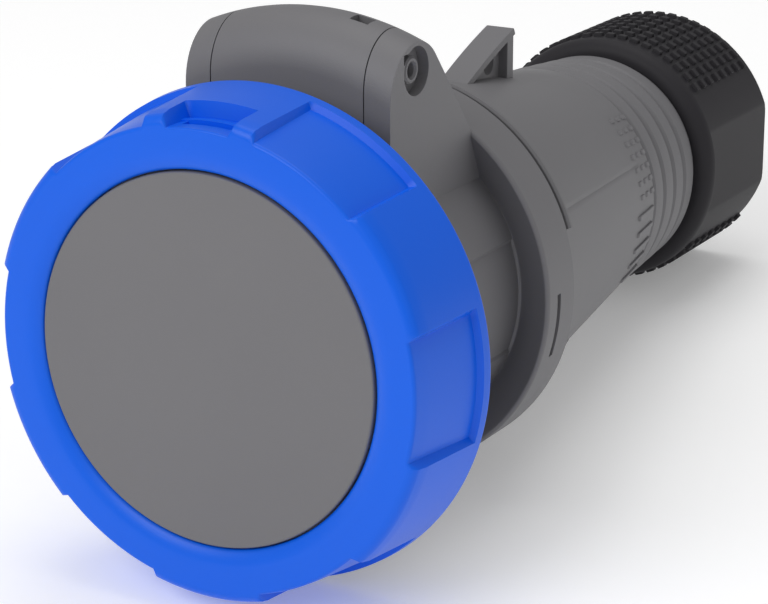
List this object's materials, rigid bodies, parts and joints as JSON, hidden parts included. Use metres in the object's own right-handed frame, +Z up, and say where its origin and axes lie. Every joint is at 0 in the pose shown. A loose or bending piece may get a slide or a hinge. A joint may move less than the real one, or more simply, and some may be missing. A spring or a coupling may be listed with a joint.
{
  "type": "pin and sleeve connector",
  "caption": "Pin-and-sleeve cable connector: tapered shell, sprung sealing lid with a bayonet locking ring, socket contacts, hanging eye and cable gland nut.",
  "frame": {"origin": "middle of the bounding box, on the floor the connector lies on", "axes": "+Y along the connector from the lid to the gland nut, +X to the right seen from the lid, +Z up towards the hinge; the connector's own axis drops 6.01 degrees from the lid to the nut"},
  "size_m": [0.1, 0.2178, 0.1084],
  "materials": {
    "housing_grey": "fine moulded grain",
    "ring_blue": "satin moulded",
    "nut_black": "fine moulded grain",
    "insert_grey": "satin moulded",
    "natural_plastic": "satin moulded",
    "seal_rubber": "smooth rubber",
    "contact_brass": "turned",
    "steel": "drawn and cut"
  },
  "bodies": {
    "connector": {"front_housing": "housing_grey", "hinge_flange": "housing_grey", "rear_shell": "housing_grey", "contact_insert": "insert_grey", "contact_retainer": "insert_grey", "line_contact": "contact_brass", "neutral_contact": "contact_brass", "earth_contact": "contact_brass", "terminal_screws": "steel", "retainer_screws": "steel", "insert_snap_ring": "natural_plastic", "housing_seal": "seal_rubber", "shell_latches": "housing_grey", "hinge_pin": "steel", "lid_spring": "steel", "grommet": "seal_rubber", "clamp_cage": "natural_plastic"},
    "lid": {"lid": "housing_grey", "lid_gasket": "seal_rubber"},
    "bayonet_ring": {"bayonet_ring": "ring_blue", "ring_clip": "natural_plastic"},
    "slip_washer": {"slip_washer": "natural_plastic"},
    "gland_nut": {"gland_nut": "nut_black"}
  },
  "joints": [
    {"name": "lid_hinge", "type": "hinge", "parent": "connector", "child": "lid", "pos_m": [0, -0.05727, 0.09817], "axis": [-1, 0, 0], "range_deg": [0, 120], "stiffness_Nm_per_rad": 0.08, "springref_deg": -143.24},
    {"name": "ring_turn", "type": "hinge", "parent": "lid", "child": "bayonet_ring", "pos_m": [0, -0.09282, 0.05083], "axis": [0, 0.9945, -0.1047], "range_deg": [0, 38]},
    {"name": "gland_nut_travel", "type": "slide", "parent": "connector", "child": "slip_washer", "axis": [0, 0.9945, -0.1047], "range_m": [0, 0.009]},
    {"name": "gland_nut_turn", "type": "hinge", "parent": "slip_washer", "child": "gland_nut", "pos_m": [0, 0.08689, 0.03192], "axis": [0, 0.9945, -0.1047], "range_deg": [0, 1080]}
  ],
  "couplings": [
    {"joint": "gland_nut_travel", "follows": "gland_nut_turn", "m_per_rad": 0.00047746}
  ]
}
